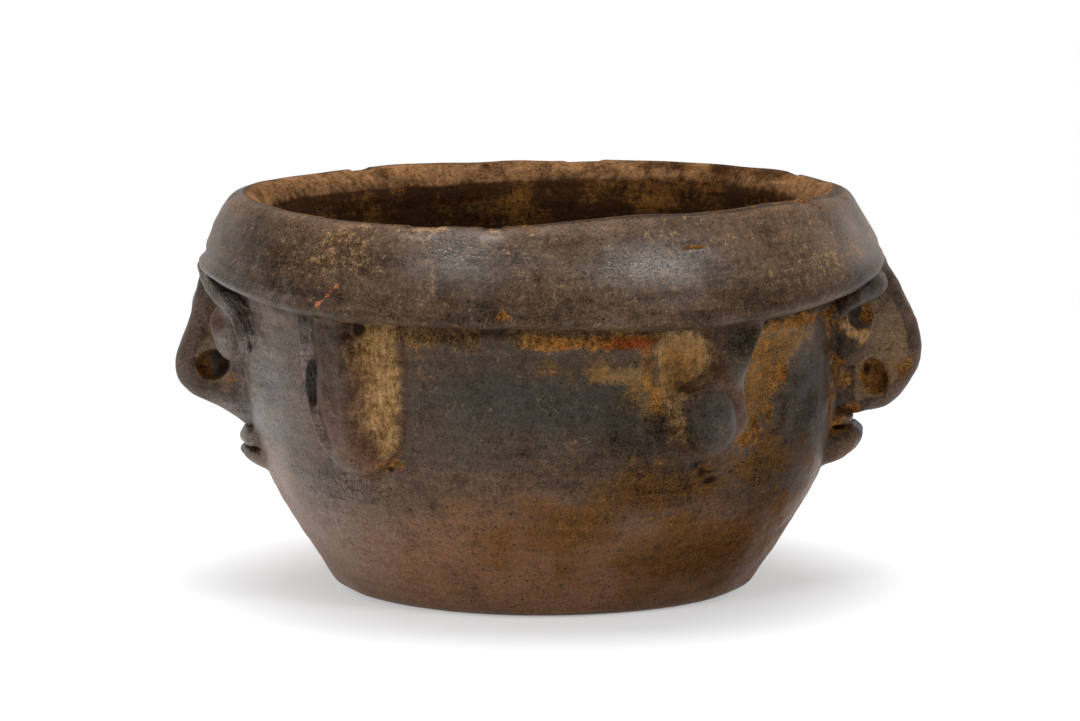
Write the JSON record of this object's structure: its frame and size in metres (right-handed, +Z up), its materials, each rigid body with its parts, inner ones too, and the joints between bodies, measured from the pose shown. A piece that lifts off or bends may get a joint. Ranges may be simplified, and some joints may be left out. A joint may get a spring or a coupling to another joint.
{
  "type": "face pot",
  "caption": "Flat-footed earthenware bowl with a thick overhanging rim collar and, on each end, a modelled face with hooked nose, ring eyes, brows, lips and ears.",
  "frame": {"origin": "on the table under the centre of the pot", "axes": "+Z up; +X out of the right face's nose; -Y towards the viewer of the picture, between the two faces"},
  "size_m": [0.1659, 0.1514, 0.0891],
  "materials": {
    "wall_clay": "burnished dark brown earthenware with black fire clouds and ochre soil in the hollows",
    "collar_clay": "burnished dark brown earthenware, worn to tan along the rim",
    "feature_clay": "burnished dark brown earthenware with ochre soil in the hollows",
    "ear_clay": "half burnished brown earthenware with bare tan scoops"
  },
  "bodies": {
    "root": {"body_bowl": "wall_clay", "rim_collar": "collar_clay", "left_nose": "feature_clay", "left_upper_lip": "feature_clay", "left_lower_lip": "feature_clay", "left_eye_front": "feature_clay", "left_brow_front": "feature_clay", "left_ear_front": "ear_clay", "left_eye_back": "feature_clay", "left_brow_back": "feature_clay", "left_ear_back": "ear_clay", "right_nose": "feature_clay", "right_upper_lip": "feature_clay", "right_lower_lip": "feature_clay", "right_eye_front": "feature_clay", "right_brow_front": "feature_clay", "right_ear_front": "ear_clay", "right_earspool_front": "feature_clay", "right_eye_back": "feature_clay", "right_brow_back": "feature_clay", "right_ear_back": "ear_clay", "right_earspool_back": "feature_clay"}
  },
  "joints": []
}
